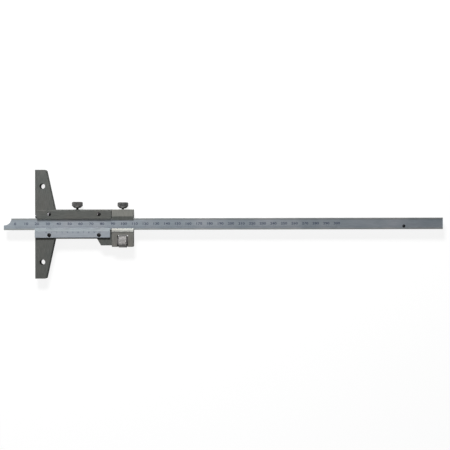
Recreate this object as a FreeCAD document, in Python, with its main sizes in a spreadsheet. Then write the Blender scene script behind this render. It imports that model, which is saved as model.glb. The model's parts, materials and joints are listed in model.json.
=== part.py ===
import FreeCAD, Part
import math
import os
import re
import Sketcher
from FreeCAD import Placement, Rotation, Vector

# Vernier depth gauge for 0 to 300 mm, lying on its back.
# The origin is on the measuring face of the base, in line with the middle of the beam and level with
# the base's back. +X runs along the beam away from the measuring face, +Y points to the clamping
# screws and +Z out of the scale face. All sizes are in millimetres.

DIMENSIONS = {
    # beam, the flat rule that slides through the base
    "reading": 28.6,
    "scale_range": 300.0,
    "beam_tail": 37.8,
    "beam_width": 11.0,
    "beam_thickness": 4.0,
    "beam_rail": 1.5,
    "beam_recess": 0.15,
    "beam_end_bevel": 1.0,
    "nose_height": 4.5,
    "nose_flat": 0.5,
    # stop screw in the beam, which ends the travel just past the full reading
    "stop_diameter": 3.0,
    "stop_offset": 2.5,
    "stop_proud": 0.9,
    "stop_beyond": 3.9,
    "stop_room": 0.4,
    "stop_floor_room": 0.16,
    # base: the crossbar with the measuring face, and the slider body in one piece with it
    "base_width": 101.0,
    "wing_tip": 10.0,
    "wing_root": 18.0,
    "wing_corner": 1.2,
    "body_length": 70.6,
    "body_height": 27.2,
    "back_wall": 2.42,
    "slide_clearance": 0.04,
    "edge_break": 0.2,
    "face_bevel_width": 1.7,
    "face_bevel_depth": 0.5,
    "wing_hole": 5.0,
    "wing_hole_spacing": 70.4,
    "wing_hole_setback": 6.8,
    "lug_length": 13.5,
    "lug_slope": 3.6,
    "lug_wall": 3.6,
    # leaf that takes up the play above the beam, and the notches that hold its bent ends
    "leaf_thickness": 0.6,
    "leaf_travel": 0.25,
    "leaf_tab": 2.4,
    "leaf_side_room": 0.08,
    "notch_depth": 1.0,
    "notch_room": 0.15,
    # plates that close the slider in front of the beam
    "plate_thickness": 1.5,
    "plate_margin": 1.0,
    "guide_plate_left": 2.0,
    "guide_plate_setback": 0.2,
    "guide_plate_lap": 1.15,
    "guide_bevel_width": 0.6,
    "guide_bevel_depth": 0.5,
    "vernier_left": 0.2,
    "vernier_setback": 1.3,
    "vernier_lap": 1.95,
    "vernier_bevel_width": 3.1,
    "vernier_edge": 0.5,
    # cheese-head screws that hold the plates
    "plate_screw_left": 13.35,
    "plate_screw_right": 11.6,
    "guide_screw_row": 9.3,
    "vernier_screw_row": 10.2,
    "plate_screw_head": 3.4,
    "plate_screw_head_height": 0.9,
    "plate_screw_shank": 2.0,
    "plate_screw_depth": 3.6,
    "plate_screw_sink": 0.1,
    "plate_screw_crown": 0.35,
    "plate_screw_crown_width": 0.8,
    "counterbore_room": 0.2,
    "slot_width": 0.6,
    "slot_depth": 0.45,
    "screw_clearance": 0.03,
    "screw_end_room": 0.4,
    # grub screws above the leaf
    "grub_spacing": 27.0,
    "grub_diameter": 2.5,
    "grub_length": 4.2,
    # clamping screws on the top edge
    "clamp_offset": 3.3,
    "clamp_shank": 3.0,
    "clamp_neck": 2.4,
    "clamp_neck_length": 1.45,
    "carriage_neck_length": 1.0,
    "clamp_head": 10.0,
    "clamp_head_height": 5.65,
    "clamp_band": 3.45,
    "clamp_foot": 5.2,
    "clamp_crown": 0.4,
    "clamp_knurls": 28,
    "knurl_depth": 0.3,
    "knurl_step": 0.08,
    # fine adjustment: carriage, knurled nut and the screw fixed in the base's lug
    "carriage_gap": 0.3,
    "carriage_length": 19.85,
    "leg_wall": 5.0,
    "upper_lip_lap": 1.7,
    "lower_lip_lap": 1.35,
    "upper_lip_bevel": 3.3,
    "lower_lip_bevel": 2.9,
    "lip_bevel_depth": 1.2,
    "window_width": 10.0,
    "window_room": 0.25,
    "leg_corner": 0.8,
    "feed_drop": 16.3,
    "feed_diameter": 3.0,
    "feed_engagement": 8.0,
    "feed_reach": 18.2,
    "feed_point": 0.4,
    "feed_clearance": 0.06,
    "lock_diameter": 2.0,
    "lock_setback": 5.3,
    "nut_diameter": 11.4,
    "nut_rim": 7.2,
    "nut_hub": 8.6,
    "nut_side_room": 0.06,
    "nut_knurls": 36,
}

# Formulas that more than one piece uses
half_beam = "beam_width / 2"
half_body = "body_height / 2"
beam_bottom = "(back_wall + slide_clearance)"
beam_top = f"({beam_bottom} + beam_thickness)"
front = f"({beam_top} + slide_clearance)"
plate_top = f"({front} + plate_thickness)"
axis_height = f"({beam_bottom} + beam_thickness / 2)"
channel_low = f"(-{half_beam} - slide_clearance)"
leaf_low = f"({half_beam} + slide_clearance)"
leaf_high = f"({leaf_low} + leaf_thickness)"
channel_high = f"({leaf_high} + leaf_travel + slide_clearance)"
notch_high = f"({leaf_low} + leaf_tab + leaf_travel + notch_room)"
stop_station = "(body_length + stop_beyond + scale_range - reading)"
stop_pocket = "(stop_diameter / 2 + stop_room)"
stop_groove_depth = "(stop_proud - slide_clearance + stop_floor_room)"
carriage_left = "(body_length + carriage_gap)"
carriage_middle = f"({carriage_left} + carriage_length / 2)"
window_high = "(feed_drop - nut_diameter / 2 - window_room)"
lug_low = "(feed_drop + lug_wall)"
leg_low = "(feed_drop + leg_wall)"
clamp_station = "(body_length / 2 + clamp_offset)"
plate_screw_stations = ("plate_screw_left", "(body_length - plate_screw_right)")
plate_screw_rows = {"": "guide_screw_row", "-": "-vernier_screw_row"}
# How far a cut starts or ends outside the material, so that no thin skin is left.
past = "1"

doc = FreeCAD.newDocument("vernier_depth_gauge")
sheet = doc.addObject("Spreadsheet::Sheet", "sizes")
for row, (name, size) in enumerate(DIMENSIONS.items(), 1):
    sheet.set(f"A{row}", name.replace("_", " "))
    sheet.set(f"B{row}", str(size))
    sheet.setAlias(f"B{row}", name)
doc.recompute()


def bound(formula):
    """Return a formula of size names as an expression that reads them from the sheet."""
    names = r"\b(" + "|".join(DIMENSIONS) + r")\b"
    return re.sub(names, r"sizes.\1", formula)


def value(formula):
    """Work out a formula of size names, for a first drawing that its constraints then hold."""
    return float(sheet.evalExpression(bound(formula)))


def new_body(name, x="0", y="0", z="0", turn=None):
    """Start a sub-part whose own origin lies at the given place."""
    body = doc.addObject("PartDesign::Body", name)
    body.Label = name
    body.Placement = Placement(Vector(0, 0, 0), turn or Rotation())
    for letter, formula in zip("xyz", (x, y, z)):
        body.setExpression(f".Placement.Base.{letter}", bound(formula))
    return body


def new_sketch(body, role, offset="0"):
    """Attach a sketch to one of the body's own origin planes, moved along that plane's normal."""
    sketch = body.newObject("Sketcher::SketchObject", "sketch")
    plane = next(item for item in body.Origin.OriginFeatures if item.Role == role)
    sketch.AttachmentSupport = [(plane, "")]
    sketch.MapMode = "FlatFace"
    sketch.setExpression("AttachmentOffset.Base.z", bound(offset))
    return sketch


def tie(sketch, kind, formula, *ends):
    """Add one dimension to a sketch and bind it to a formula."""
    index = sketch.addConstraint(Sketcher.Constraint(kind, *ends, value(formula)))
    sketch.setExpression(f"Constraints[{index}]", bound(formula))


def outline(sketch, corners):
    """Draw a closed outline; a corner with a radius is reached along an arc that turns left or right."""
    places = [Vector(value(corner[0]), value(corner[1]), 0) for corner in corners]
    first_ends = []
    last_ends = []
    for index, start in enumerate(places):
        following = (index + 1) % len(corners)
        end = places[following]
        if len(corners[following]) == 2:
            sketch.addGeometry(Part.LineSegment(start, end))
            first_ends.append(1)
            last_ends.append(2)
            continue
        radius_formula, side = corners[following][2:]
        radius = value(radius_formula)
        chord = end - start
        across = Vector(-chord.y, chord.x, 0).normalize()
        rise = math.sqrt(max(radius**2 - (chord.Length / 2) ** 2, 0))
        centre = (start + end) / 2 + across * (rise if side == "left" else -rise)
        angles = [math.atan2(place.y - centre.y, place.x - centre.x) for place in (start, end)]
        if side == "right":
            angles.reverse()
        if angles[1] < angles[0]:
            angles[1] += 2 * math.pi
        sketch.addGeometry(Part.ArcOfCircle(Part.Circle(centre, Vector(0, 0, 1), radius), *angles))
        first_ends.append(1 if side == "left" else 2)
        last_ends.append(2 if side == "left" else 1)
        tie(sketch, "Radius", radius_formula, index)
    for index, corner in enumerate(corners):
        following = (index + 1) % len(corners)
        joined = (index, last_ends[index], following, first_ends[following])
        sketch.addConstraint(Sketcher.Constraint("Coincident", *joined))
        tie(sketch, "DistanceX", corner[0], -1, 1, index, first_ends[index])
        tie(sketch, "DistanceY", corner[1], -1, 1, index, first_ends[index])


def rectangle(sketch, left, low, right, high):
    """Draw an upright rectangle from its lower left to its upper right corner."""
    outline(sketch, [(left, low), (right, low), (right, high), (left, high)])


def circle(sketch, x, y, diameter):
    """Draw a circle about a point of the sketch."""
    centre = Vector(value(x), value(y), 0)
    index = sketch.addGeometry(Part.Circle(centre, Vector(0, 0, 1), value(diameter) / 2))
    tie(sketch, "Diameter", diameter, index)
    tie(sketch, "DistanceX", x, -1, 1, index, 3)
    tie(sketch, "DistanceY", y, -1, 1, index, 3)


def volume_now(body):
    """Bring the document up to date and return the volume of a sub-part."""
    doc.recompute()
    return body.Shape.Volume


def pad(body, sketch, length):
    """Raise a sketch along its plane's normal."""
    feature = body.newObject("PartDesign::Pad", "pad")
    feature.Profile = sketch
    feature.setExpression("Length", bound(length))
    doc.recompute()
    return feature


def pocket(body, sketch, depth, along_normal=False):
    """Cut a sketch into the sub-part, against its plane's normal unless told otherwise."""
    before = volume_now(body)
    feature = body.newObject("PartDesign::Pocket", "pocket")
    feature.Profile = sketch
    feature.Reversed = along_normal
    feature.setExpression("Length", bound(depth))
    if not volume_now(body) < before:
        raise RuntimeError(f"a pocket of {body.Label} cuts nothing")
    return feature


def turned(body, corners):
    """Turn an outline, drawn as distance from the axis and height, about the sub-part's own Z axis."""
    sketch = new_sketch(body, "XZ_Plane")
    outline(sketch, corners)
    feature = body.newObject("PartDesign::Revolution", "revolution")
    feature.Profile = sketch
    feature.ReferenceAxis = (sketch, ["V_Axis"])
    feature.Angle = 360
    doc.recompute()
    return feature


def edges_where(feature, test):
    """Name the edges of a feature whose middle point and direction pass a test."""
    names = []
    for number, edge in enumerate(feature.Shape.Edges, 1):
        run = edge.valueAt(edge.LastParameter) - edge.valueAt(edge.FirstParameter)
        if test(edge.CenterOfMass, run):
            names.append(f"Edge{number}")
    return names


def round_edges(body, feature, names, radius):
    """Round the named edges of a feature."""
    fillet = body.newObject("PartDesign::Fillet", "fillet")
    fillet.Base = (feature, names)
    fillet.setExpression("Radius", bound(radius))
    doc.recompute()
    return fillet


def break_faces(body, feature, heights, size):
    """Bevel every edge around the level faces that lie at the given heights."""
    names = []
    for number, face in enumerate(feature.Shape.Faces, 1):
        box = face.BoundBox
        level = box.ZLength < 1e-6
        if level and any(abs(box.ZMin - height) < 1e-6 for height in heights):
            names.append(f"Face{number}")
    chamfer = body.newObject("PartDesign::Chamfer", "chamfer")
    chamfer.Base = (feature, names)
    chamfer.setExpression("Size", bound(size))
    doc.recompute()
    return chamfer


def knurl(body, diameter, top, length, count):
    """Cut V grooves along a turned band, evenly around the sub-part's own Z axis."""
    sketch = new_sketch(body, "XY_Plane", top)
    rim = f"{diameter} / 2"
    half_groove = f"({diameter} * pi / {count} / 2 * 0.8)"
    overshoot = f"({rim} + knurl_depth)"
    tip = f"({rim} - knurl_depth)"
    outline(sketch, [(tip, "0"), (overshoot, f"-2 * {half_groove}"), (overshoot, f"2 * {half_groove}")])
    groove = pocket(body, sketch, length)
    pattern = body.newObject("PartDesign::PolarPattern", "knurls")
    pattern.Originals = [groove]
    axis = next(item for item in body.Origin.OriginFeatures if item.Role == "Z_Axis")
    pattern.Axis = (axis, [""])
    pattern.Angle = 360
    pattern.setExpression("Occurrences", bound(count))
    body.Tip = pattern
    doc.recompute()


def make_beam():
    """The rule: two rails beside a shallow scale face, a hollow-cut nose and a bevelled far end."""
    body = new_body("beam", x="-reading")
    length = f"({stop_station} + reading + beam_tail)"
    section = new_sketch(body, "YZ_Plane")
    side, low, high = half_beam, beam_bottom, beam_top
    scale_side = f"({side} - beam_rail)"
    scale_face = f"({high} - beam_recess)"
    corners = [
        (f"-{side}", f"{low} + edge_break"),
        (f"-{side} + edge_break", low),
        (f"{side} - edge_break", low),
        (side, f"{low} + edge_break"),
        (side, f"{high} - edge_break"),
        (f"{side} - edge_break", high),
        (scale_side, high),
        (scale_side, scale_face),
        (f"-{scale_side}", scale_face),
        (f"-{scale_side}", high),
        (f"-{side} + edge_break", high),
        (f"-{side}", f"{high} - edge_break"),
    ]
    outline(section, corners)
    pad(body, section, length)

    nose = new_sketch(body, "XY_Plane", f"{high} + {past}")
    nose_top = f"(-{side} + nose_height)"
    nose_radius = "(beam_width - nose_height)"
    hollow_end = f"(nose_flat + {nose_radius})"
    corners = [
        (f"-{past}", nose_top),
        ("nose_flat", nose_top),
        (hollow_end, side, nose_radius, "left"),
        (hollow_end, f"{side} + {past}"),
        (f"-{past}", f"{side} + {past}"),
    ]
    outline(nose, corners)
    pocket(body, nose, f"beam_thickness + 2 * {past}")

    screw_hole = new_sketch(body, "XY_Plane", f"{high} + {past}")
    circle(screw_hole, f"{stop_station} + reading", "-stop_offset", "stop_diameter + 2 * screw_clearance")
    pocket(body, screw_hole, f"beam_thickness + 2 * {past}")

    far_end = new_sketch(body, "XZ_Plane", f"-{side} - {past}")
    corners = [
        (f"{length} - beam_end_bevel", high),
        (f"{length} + {past}", f"{high} - beam_end_bevel - {past}"),
        (f"{length} + {past}", f"{high} + {past}"),
        (f"{length} - beam_end_bevel", f"{high} + {past}"),
    ]
    outline(far_end, corners)
    pocket(body, far_end, f"beam_width + 2 * {past}", along_normal=True)


def slot_cut(body, diameter, height):
    """Cut a screwdriver slot across the top of a turned screw."""
    slot = new_sketch(body, "XY_Plane", height)
    reach = f"({diameter} / 2 + {past})"
    rectangle(slot, f"-{reach}", "-slot_width / 2", reach, "slot_width / 2")
    pocket(body, slot, "slot_depth")


def make_stop_screw():
    """The screw in the beam whose tail stands out at the back and meets the slider past the full reading."""
    body = new_body("beam_stop_screw", stop_station, "-stop_offset", f"{beam_bottom} - stop_proud")
    top = "(stop_proud + beam_thickness - beam_recess)"
    radius = "stop_diameter / 2"
    corners = [
        ("0", "0"),
        (radius, "0"),
        (radius, f"{top} - edge_break"),
        (f"{radius} - edge_break", top),
        ("0", top),
    ]
    turned(body, corners)
    slot_cut(body, "stop_diameter", top)


def cut_channel(body, left, right, high_room):
    """Cut the guideway for the beam and the leaf, and the notches for the leaf's bent ends."""
    depth = f"{front} - back_wall + {high_room}"
    guideway = new_sketch(body, "XY_Plane", f"{front} + {high_room}")
    rectangle(guideway, f"{left} - {past}", channel_low, f"{right} + {past}", channel_high)
    pocket(body, guideway, depth)
    left_notch = (f"{left} - {past}", f"{left} + notch_depth")
    right_notch = (f"{right} - notch_depth", f"{right} + {past}")
    for start, end in (left_notch, right_notch):
        notch = new_sketch(body, "XY_Plane", f"{front} + {high_room}")
        rectangle(notch, start, leaf_low, end, notch_high)
        pocket(body, notch, depth)


def bore_from_top(body, x, diameter):
    """Drill from the top edge of a slider down to its guideway."""
    hole = new_sketch(body, "XZ_Plane", f"-{half_body}")
    circle(hole, x, axis_height, f"{diameter} + 2 * screw_clearance")
    pocket(body, hole, f"{half_body} - {leaf_high}", along_normal=True)


def make_base():
    """The crossbar with its measuring face and the slider body, cut from one piece of steel."""
    body = new_body("base_body")
    plan = new_sketch(body, "XY_Plane")
    half_base = "base_width / 2"
    corners = [
        ("0", f"-{half_base}"),
        ("wing_tip", f"-{half_base}"),
        ("wing_root", f"-{half_body}"),
        ("body_length - lug_length", f"-{half_body}"),
        ("body_length - lug_length + lug_slope", f"-{lug_low}"),
        ("body_length", f"-{lug_low}"),
        ("body_length", half_body),
        ("wing_root", half_body),
        ("wing_tip", half_base),
        ("0", half_base),
    ]
    outline(plan, corners)
    blank = pad(body, plan, front)
    tip_x, tip_y = value("wing_tip"), value(half_base)

    def at_wing_tip(middle, run):
        return abs(run.z) > 1 and abs(middle.x - tip_x) < 1e-3 and abs(abs(middle.y) - tip_y) < 1e-3

    rounded = round_edges(body, blank, edges_where(blank, at_wing_tip), "wing_corner")
    break_faces(body, rounded, (0.0, value(front)), "edge_break")

    cut_channel(body, "0", "body_length", past)

    for low, high in ((f"-{half_base}", f"-{half_body} + plate_margin"), (notch_high, half_base)):
        bevel = new_sketch(body, "XZ_Plane", f"-({high}) - (edge_break)")
        corners = [
            (f"-{past}", f"{front} - face_bevel_depth"),
            ("0", f"{front} - face_bevel_depth"),
            ("face_bevel_width", front),
            ("face_bevel_width", f"{front} + {past}"),
            (f"-{past}", f"{front} + {past}"),
        ]
        outline(bevel, corners)
        pocket(body, bevel, f"({high}) - ({low}) + 2 * edge_break", along_normal=True)

    for side in ("", "-"):
        wing_hole = new_sketch(body, "XY_Plane", f"{front} + {past}")
        circle(wing_hole, "wing_hole_setback", f"{side}wing_hole_spacing / 2", "wing_hole")
        pocket(body, wing_hole, f"{front} + 2 * {past}")
        for station in plate_screw_stations:
            thread = new_sketch(body, "XY_Plane", f"{front} + {past}")
            circle(thread, station, plate_screw_rows[side], "plate_screw_shank + 2 * screw_clearance")
            pocket(body, thread, f"plate_screw_depth + screw_end_room + {past}")
        grub_station = f"{clamp_station} + {side}grub_spacing / 2"
        bore_from_top(body, grub_station, "grub_diameter")
    bore_from_top(body, clamp_station, "clamp_shank")

    feed = new_sketch(body, "YZ_Plane", "body_length")
    circle(feed, "-feed_drop", axis_height, "feed_diameter + 2 * screw_clearance")
    pocket(body, feed, "feed_engagement + screw_end_room")
    lock = new_sketch(body, "XZ_Plane", lug_low)
    circle(lock, "body_length - lock_setback", axis_height, "lock_diameter + 2 * screw_clearance")
    pocket(body, lock, f"{lug_low} - feed_drop")


def plate(name, left, right, low, high, bevel_width, bevel_depth, bevel_on_top):
    """A flat plate along the slider, with a sloping edge over the beam and two sunk screw holes."""
    body = new_body(name, x=left)
    section = new_sketch(body, "YZ_Plane")
    bottom, top = front, plate_top
    if bevel_on_top:
        corners = [
            (low, bottom),
            (high, bottom),
            (high, f"{top} - {bevel_depth}"),
            (f"{high} - {bevel_width}", top),
            (f"{low} + edge_break", top),
            (low, f"{top} - edge_break"),
        ]
    else:
        corners = [
            (low, bottom),
            (high, bottom),
            (high, f"{top} - edge_break"),
            (f"{high} - edge_break", top),
            (f"{low} + {bevel_width}", top),
            (low, f"{top} - {bevel_depth}"),
        ]
    outline(section, corners)
    pad(body, section, f"{right} - {left}")
    screw_row = plate_screw_rows["-" if bevel_on_top else ""]
    sunk = "(plate_screw_head_height + plate_screw_sink)"
    for station in plate_screw_stations:
        x = f"{station} - {left}"
        through = new_sketch(body, "XY_Plane", f"{top} + {past}")
        circle(through, x, screw_row, "plate_screw_shank + 2 * screw_clearance")
        pocket(body, through, f"plate_thickness + 2 * {past}")
        counterbore = new_sketch(body, "XY_Plane", f"{top} + {past}")
        circle(counterbore, x, screw_row, "plate_screw_head + 2 * counterbore_room")
        pocket(body, counterbore, f"{sunk} + {past}")


def make_plate_screws():
    """Four slotted cheese-head screws, two through each plate into the slider."""
    for family, side in (("guide_plate_screw", ""), ("vernier_screw", "-")):
        for place, station in zip(("left", "right"), plate_screw_stations):
            tip = f"{front} - plate_screw_depth"
            body = new_body(f"{family}_{place}", station, plate_screw_rows[side], tip)
            seat = "(plate_screw_depth + plate_thickness - plate_screw_head_height - plate_screw_sink)"
            top = f"({seat} + plate_screw_head_height)"
            head = "plate_screw_head / 2"
            shank = "plate_screw_shank / 2"
            corners = [
                ("0", "0"),
                (shank, "0"),
                (shank, seat),
                (head, seat),
                (head, f"{top} - plate_screw_crown"),
                (f"{head} - plate_screw_crown_width", top),
                ("0", top),
            ]
            turned(body, corners)
            slot_cut(body, "plate_screw_head", top)


def make_leaf(name, left, length):
    """The springy strip between the beam and the guideway, with both ends bent up into the notches."""
    body = new_body(name, x=left, z=f"{beam_bottom} + leaf_side_room")
    strip = new_sketch(body, "XY_Plane")
    inset = "(notch_depth - notch_room - leaf_thickness)"
    tab_top = f"({leaf_low} + leaf_tab)"
    end = f"({length} - {inset})"
    corners = [
        (inset, leaf_low),
        (end, leaf_low),
        (end, tab_top),
        (f"{end} - leaf_thickness", tab_top),
        (f"{end} - leaf_thickness", leaf_high),
        (f"{inset} + leaf_thickness", leaf_high),
        (f"{inset} + leaf_thickness", tab_top),
        (inset, tab_top),
    ]
    outline(strip, corners)
    pad(body, strip, "beam_thickness - 2 * leaf_side_room")


def make_grub_screws():
    """Two slotted grub screws that limit how far the slider's leaf can lift."""
    down = Rotation(Vector(1, 0, 0), -90)
    for place, side in (("left", "-"), ("right", "")):
        x = f"{clamp_station} + {side}grub_spacing / 2"
        body = new_body(f"leaf_grub_screw_{place}", x, channel_high, axis_height, down)
        radius = "grub_diameter / 2"
        corners = [
            ("0", "0"),
            (radius, "0"),
            (radius, "grub_length - edge_break"),
            (f"{radius} - edge_break", "grub_length"),
            ("0", "grub_length"),
        ]
        turned(body, corners)
        slot_cut(body, "grub_diameter", "grub_length")


def make_clamp_screw(name, x, neck_length):
    """A thumbscrew whose point presses the leaf on the beam, with a bowl-shaped knurled head."""
    down = Rotation(Vector(1, 0, 0), -90)
    body = new_body(name, x, leaf_high, axis_height, down)
    shank = "clamp_shank / 2"
    neck = "clamp_neck / 2"
    rim = "clamp_head / 2"
    neck_low = f"({half_body} - {leaf_high} - edge_break)"
    head_low = f"({half_body} - {leaf_high} + {neck_length})"
    head_high = f"({head_low} + clamp_head_height)"
    band_high = f"({head_high} - clamp_crown)"
    band_low = f"({band_high} - clamp_band)"
    root = f"({rim} - knurl_depth - knurl_step)"
    foot = "(clamp_foot / 2)"
    bowl_height = f"({band_low} - {head_low})"
    centre_height = f"(({root} ^ 2 - {foot} ^ 2 + {bowl_height} ^ 2) / (2 * {bowl_height}))"
    bowl_radius = f"sqrt({foot} ^ 2 + {centre_height} ^ 2)"
    corners = [
        ("0", "0"),
        (shank, "0"),
        (shank, f"{neck_low} - edge_break"),
        (neck, neck_low),
        (neck, head_low),
        (foot, head_low),
        (root, band_low, bowl_radius, "left"),
        (rim, band_low),
        (rim, band_high),
        (root, band_high),
        (f"{root} - clamp_crown", head_high),
        ("0", head_high),
    ]
    turned(body, corners)
    knurl(body, "clamp_head", band_high, "clamp_band", "clamp_knurls")


def make_feed_screw():
    """The screw of the fine adjustment, held in the lug and reaching through the nut."""
    along = Rotation(Vector(0, 1, 0), 90)
    body = new_body("feed_screw", "body_length - feed_engagement", "-feed_drop", axis_height, along)
    radius = "feed_diameter / 2"
    length = "(feed_engagement + feed_reach)"
    corners = [
        ("0", "0"),
        (radius, "0"),
        (radius, f"{length} - feed_point"),
        (f"{radius} - feed_point", length),
        ("0", length),
    ]
    turned(body, corners)


def make_lock_screw():
    """The small grub screw under the lug that keeps the feed screw from turning."""
    up = Rotation(Vector(1, 0, 0), 90)
    station = "body_length - lock_setback"
    tip = "-feed_drop - feed_diameter / 2"
    body = new_body("feed_lock_screw", station, tip, axis_height, up)
    radius = "lock_diameter / 2"
    length = f"({lug_low} - feed_drop - feed_diameter / 2 - edge_break)"
    corners = [
        ("0", "0"),
        (radius, "0"),
        (radius, f"{length} - edge_break"),
        (f"{radius} - edge_break", length),
        ("0", length),
    ]
    turned(body, corners)
    slot_cut(body, "lock_diameter", length)


def make_carriage():
    """The fine-adjustment carriage: a closed guide on the beam with two legs beside the nut."""
    body = new_body("carriage_body", x=carriage_left)
    middle = "carriage_length / 2"
    plan = new_sketch(body, "XY_Plane")
    rectangle(plan, "0", f"-{leg_low}", "carriage_length", half_body)
    blank = pad(body, plan, plate_top)
    leg_y = -value(leg_low)

    def at_leg_end(middle_point, run):
        return abs(run.z) > 1 and abs(middle_point.y - leg_y) < 1e-3

    rounded = round_edges(body, blank, edges_where(blank, at_leg_end), "leg_corner")
    break_faces(body, rounded, (0.0, value(plate_top)), "edge_break")

    opening = new_sketch(body, "YZ_Plane", f"-{past}")
    guide_low, guide_high = channel_low, channel_high
    rectangle(opening, guide_low, "back_wall", guide_high, front)
    pocket(body, opening, f"carriage_length + 2 * {past}", along_normal=True)

    mouth = new_sketch(body, "YZ_Plane", f"-{past}")
    lip_low = f"(-{half_beam} + lower_lip_lap)"
    lip_high = f"({half_beam} - upper_lip_lap)"
    edge = f"({plate_top} - lip_bevel_depth)"
    corners = [
        (lip_low, f"{front} - slide_clearance"),
        (lip_high, f"{front} - slide_clearance"),
        (lip_high, edge),
        (f"{lip_high} + upper_lip_bevel", plate_top),
        (f"{lip_high} + upper_lip_bevel", f"{plate_top} + {past}"),
        (f"{lip_low} - lower_lip_bevel", f"{plate_top} + {past}"),
        (f"{lip_low} - lower_lip_bevel", plate_top),
        (lip_low, edge),
    ]
    outline(mouth, corners)
    pocket(body, mouth, f"carriage_length + 2 * {past}", along_normal=True)

    for start in ("0", "carriage_length - notch_depth"):
        notch = new_sketch(body, "YZ_Plane", start)
        rectangle(notch, leaf_low, "back_wall", notch_high, front)
        pocket(body, notch, "notch_depth", along_normal=True)

    groove = new_sketch(body, "XY_Plane", "back_wall")
    groove_low = f"-stop_offset - {stop_pocket}"
    groove_high = f"-stop_offset + {stop_pocket}"
    rectangle(groove, f"-{past}", groove_low, f"carriage_length + {past}", groove_high)
    pocket(body, groove, stop_groove_depth)

    window = new_sketch(body, "XY_Plane", f"{plate_top} + {past}")
    left, right = f"{middle} - window_width / 2", f"{middle} + window_width / 2"
    rectangle(window, left, f"-{leg_low} - {past}", right, f"-{window_high}")
    pocket(body, window, f"{plate_top} + 2 * {past}")

    bore_from_top(body, middle, "clamp_shank")
    feed = new_sketch(body, "YZ_Plane", f"-{past}")
    circle(feed, "-feed_drop", axis_height, "feed_diameter + 2 * feed_clearance")
    pocket(body, feed, f"carriage_length + 2 * {past}", along_normal=True)


def make_nut():
    """The knurled nut in the carriage's window, with sloping shoulders down to its end faces."""
    along = Rotation(Vector(0, 1, 0), 90)
    width = "(window_width - 2 * nut_side_room)"
    body = new_body("fine_adjust_nut", f"{carriage_middle} - {width} / 2", "-feed_drop", axis_height, along)
    bore = "(feed_diameter / 2 + feed_clearance)"
    hub = "nut_hub / 2"
    rim = "nut_diameter / 2"
    root = f"({rim} - knurl_depth - knurl_step)"
    shoulder = f"(({width} - nut_rim) / 2)"
    corners = [
        (bore, "0"),
        (hub, "0"),
        (root, shoulder),
        (rim, shoulder),
        (rim, f"{width} - {shoulder}"),
        (root, f"{width} - {shoulder}"),
        (hub, width),
        (bore, width),
    ]
    turned(body, corners)
    knurl(body, "nut_diameter", f"{width} - {shoulder}", "nut_rim", "nut_knurls")


make_beam()
make_stop_screw()
make_base()
guide_low = f"({half_beam} - guide_plate_lap)"
guide_high = f"({half_body} - plate_margin)"
bevel = ("guide_bevel_width", "guide_bevel_depth")
guide_right = "body_length - guide_plate_setback"
plate("upper_guide_plate", "guide_plate_left", guide_right, guide_low, guide_high, *bevel, False)
vernier_high = f"(-{half_beam} + vernier_lap)"
vernier_depth = "(plate_thickness - vernier_edge)"
bevel = ("vernier_bevel_width", vernier_depth)
vernier_right = "body_length - vernier_setback"
plate("vernier_plate", "vernier_left", vernier_right, f"(-{guide_high})", vernier_high, *bevel, True)
make_plate_screws()
make_leaf("slider_leaf", "0", "body_length")
make_grub_screws()
make_clamp_screw("slider_clamp_screw", clamp_station, "clamp_neck_length")
make_feed_screw()
make_lock_screw()
make_carriage()
make_leaf("carriage_leaf", carriage_left, "carriage_length")
make_clamp_screw("carriage_clamp_screw", carriage_middle, "carriage_neck_length")
make_nut()
doc.recompute()

failed = [item.Name for item in doc.Objects if "Invalid" in item.State or "Error" in item.State]
if failed:
    raise RuntimeError(f"these objects failed: {failed}")
bodies = [item for item in doc.Objects if item.TypeId == "PartDesign::Body"]
for item in bodies:
    if item.Shape.isNull() or not item.Shape.isValid() or len(item.Shape.Solids) != 1:
        raise RuntimeError(f"{item.Label} is not one valid solid")

os.makedirs("parts", exist_ok=True)
for item in bodies:
    item.Shape.exportStep(f"parts/{item.Label}.step")
    box = item.Shape.BoundBox
    low = [round(float(x), 2) for x in (box.XMin, box.YMin, box.ZMin)]
    high = [round(float(x), 2) for x in (box.XMax, box.YMax, box.ZMax)]
    print(f"{item.Label}: {item.Shape.Volume:.1f} mm3, from {low} to {high}")
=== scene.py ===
# %% [markdown]
# A vernier depth gauge measures how deep a hole or a step is. Its long flat beam slides through a
# T-shaped base, and a vernier on the base reads fiftieths of a millimetre. The solid pieces come
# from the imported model. This lesson gives them their metals, engraves the scales and cuts the one
# thread that shows.

import json
import math

import bpy
from mathutils import Euler, Matrix, Vector


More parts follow.
